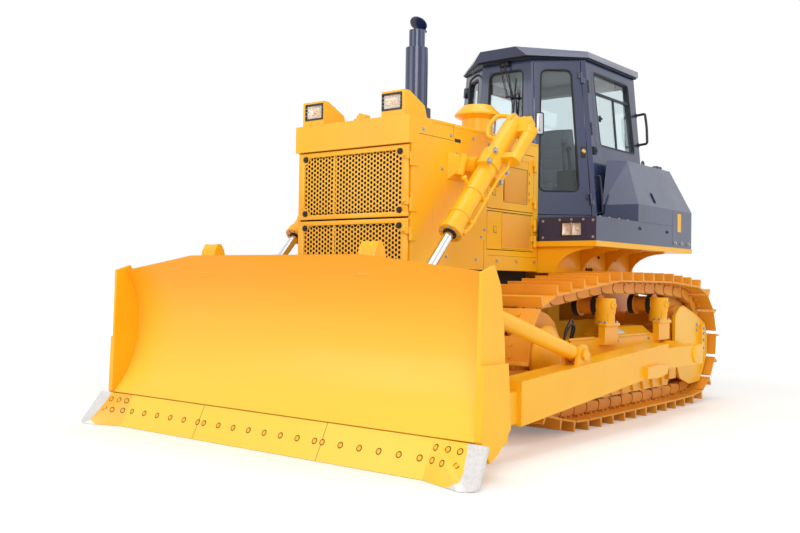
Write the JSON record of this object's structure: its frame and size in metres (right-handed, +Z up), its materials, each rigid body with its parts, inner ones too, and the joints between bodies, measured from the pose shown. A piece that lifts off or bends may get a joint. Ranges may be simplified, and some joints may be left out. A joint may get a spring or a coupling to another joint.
{
  "type": "crawler bulldozer",
  "caption": "Crawler bulldozer with a straight tilt blade, lift cylinders, hinged guard doors, cab with doors and two closed track loops.",
  "frame": {"origin": "middle of the machine's length and width, on the floor under the tracks", "axes": "+X forward, towards the blade; +Y to the machine's left; +Z up"},
  "size_m": [5.476, 3.714, 3.3044],
  "materials": {
    "yellow_paint": "gloss",
    "track_paint": "satin",
    "navy_paint": "gloss",
    "bare_steel": "satin",
    "chrome": "polished",
    "cab_glass": "clear",
    "lamp_glass": "clear",
    "seat_vinyl": "matte",
    "dark_plastic": "matte",
    "engine_iron": "matte",
    "core_metal": "matte"
  },
  "bodies": {
    "chassis": {"cab_door_frames": "navy_paint", "cab_floor": "navy_paint", "cab_front": "navy_paint", "cab_glass": "cab_glass", "cab_rear": "navy_paint", "cab_roof": "navy_paint", "cab_sides": "navy_paint", "carrier_rollers": "yellow_paint", "consoles": "dark_plastic", "cross_bars": "yellow_paint", "drawbar": "yellow_paint", "engine_block": "engine_iron", "exhaust_stack": "yellow_paint", "fender_boxes": "navy_paint", "fenders": "yellow_paint", "final_drives": "yellow_paint", "fuel_tank": "navy_paint", "head_lamps": "yellow_paint", "hood_sides": "yellow_paint", "hood_top": "yellow_paint", "idlers": "yellow_paint", "lamp_lenses": "lamp_glass", "lift_brackets": "yellow_paint", "main_frame": "yellow_paint", "precleaner": "yellow_paint", "radiator_core": "core_metal", "radiator_guard": "yellow_paint", "rear_case": "yellow_paint", "seat": "seat_vinyl", "side_tanks": "navy_paint", "sprockets": "track_paint", "track_covers": "yellow_paint", "track_frames": "yellow_paint", "track_left": "track_paint", "track_right": "track_paint", "track_rollers": "yellow_paint"},
    "blade": {"moldboard": "yellow_paint", "blade_back": "yellow_paint", "blade_ribs": "yellow_paint", "end_plates": "yellow_paint", "cutting_edge": "yellow_paint", "end_bits": "bare_steel", "push_arms": "yellow_paint", "braces": "yellow_paint"},
    "lift_barrel_left": {"lift_barrel_left": "yellow_paint"},
    "lift_rod_left": {"lift_rod_left": "chrome"},
    "cab_door_left": {"cab_door_left": "navy_paint", "cab_door_glass_left": "cab_glass"},
    "engine_door_upper_left": {"engine_door_upper_left": "yellow_paint"},
    "engine_door_lower_left": {"engine_door_lower_left": "yellow_paint"},
    "lift_barrel_right": {"lift_barrel_right": "yellow_paint"},
    "lift_rod_right": {"lift_rod_right": "chrome"},
    "cab_door_right": {"cab_door_right": "navy_paint", "cab_door_glass_right": "cab_glass"},
    "engine_door_upper_right": {"engine_door_upper_right": "yellow_paint"},
    "engine_door_lower_right": {"engine_door_lower_right": "yellow_paint"},
    "grille_upper": {"grille_upper": "yellow_paint"},
    "grille_lower": {"grille_lower": "yellow_paint"},
    "exhaust_flap": {"exhaust_flap": "yellow_paint"}
  },
  "joints": [
    {"name": "blade_lift", "type": "hinge", "parent": "chassis", "child": "blade", "pos_m": [-1.425, 0, 0.52], "axis": [0, -1, 0], "range_deg": [-7.3, 16.5]},
    {"name": "lift_barrel_left", "type": "hinge", "parent": "chassis", "child": "lift_barrel_left", "pos_m": [0.945, 0.775, 2.031], "axis": [0, -1, 0], "range_deg": [-11.8, 26.4]},
    {"name": "lift_rod_left", "type": "slide", "parent": "lift_barrel_left", "child": "lift_rod_left", "axis": [0.6836, 0, -0.7299], "range_m": [-0.7445, 0.3295]},
    {"name": "lift_barrel_right", "type": "hinge", "parent": "chassis", "child": "lift_barrel_right", "pos_m": [0.945, -0.775, 2.031], "axis": [0, -1, 0], "range_deg": [-11.8, 26.4]},
    {"name": "lift_rod_right", "type": "slide", "parent": "lift_barrel_right", "child": "lift_rod_right", "axis": [0.6836, 0, -0.7299], "range_m": [-0.7445, 0.3295]},
    {"name": "cab_door_left", "type": "hinge", "parent": "chassis", "child": "cab_door_left", "pos_m": [-0.77174, 0.7704, 1.7039], "axis": [0.002, -0.0948, 0.9955], "range_deg": [0, 110]},
    {"name": "engine_door_upper_left", "type": "hinge", "parent": "chassis", "child": "engine_door_upper_left", "pos_m": [-0.072, 0.58, 1.9], "axis": [0, 0, -1], "range_deg": [-85, 0]},
    {"name": "engine_door_lower_left", "type": "hinge", "parent": "chassis", "child": "engine_door_lower_left", "pos_m": [-0.072, 0.58, 1.55], "axis": [0, 0, -1], "range_deg": [-85, 0]},
    {"name": "cab_door_right", "type": "hinge", "parent": "chassis", "child": "cab_door_right", "pos_m": [-0.77174, -0.7704, 1.7039], "axis": [-0.002, -0.0948, -0.9955], "range_deg": [0, 110]},
    {"name": "engine_door_upper_right", "type": "hinge", "parent": "chassis", "child": "engine_door_upper_right", "pos_m": [-0.072, -0.58, 1.9], "axis": [0, 0, 1], "range_deg": [-85, 0]},
    {"name": "engine_door_lower_right", "type": "hinge", "parent": "chassis", "child": "engine_door_lower_right", "pos_m": [-0.072, -0.58, 1.55], "axis": [0, 0, 1], "range_deg": [-85, 0]},
    {"name": "grille_upper", "type": "hinge", "parent": "chassis", "child": "grille_upper", "pos_m": [1.647, 0.57, 1.85], "axis": [0, 0, -1], "range_deg": [-100, 0]},
    {"name": "grille_lower", "type": "hinge", "parent": "chassis", "child": "grille_lower", "pos_m": [1.647, 0.57, 1.3], "axis": [0, 0, -1], "range_deg": [-24, 0]},
    {"name": "exhaust_flap", "type": "hinge", "parent": "chassis", "child": "exhaust_flap", "pos_m": [0.781, 0, 3.204], "axis": [0, -1, 0], "range_deg": [-36, 30]}
  ],
  "couplings": [
    {"joint": "lift_barrel_left", "follows": "blade_lift", "ratio": 1.5886},
    {"joint": "lift_rod_left", "follows": "blade_lift", "m_per_rad": -2.5807},
    {"joint": "lift_barrel_right", "follows": "blade_lift", "ratio": 1.5886},
    {"joint": "lift_rod_right", "follows": "blade_lift", "m_per_rad": -2.5807}
  ]
}
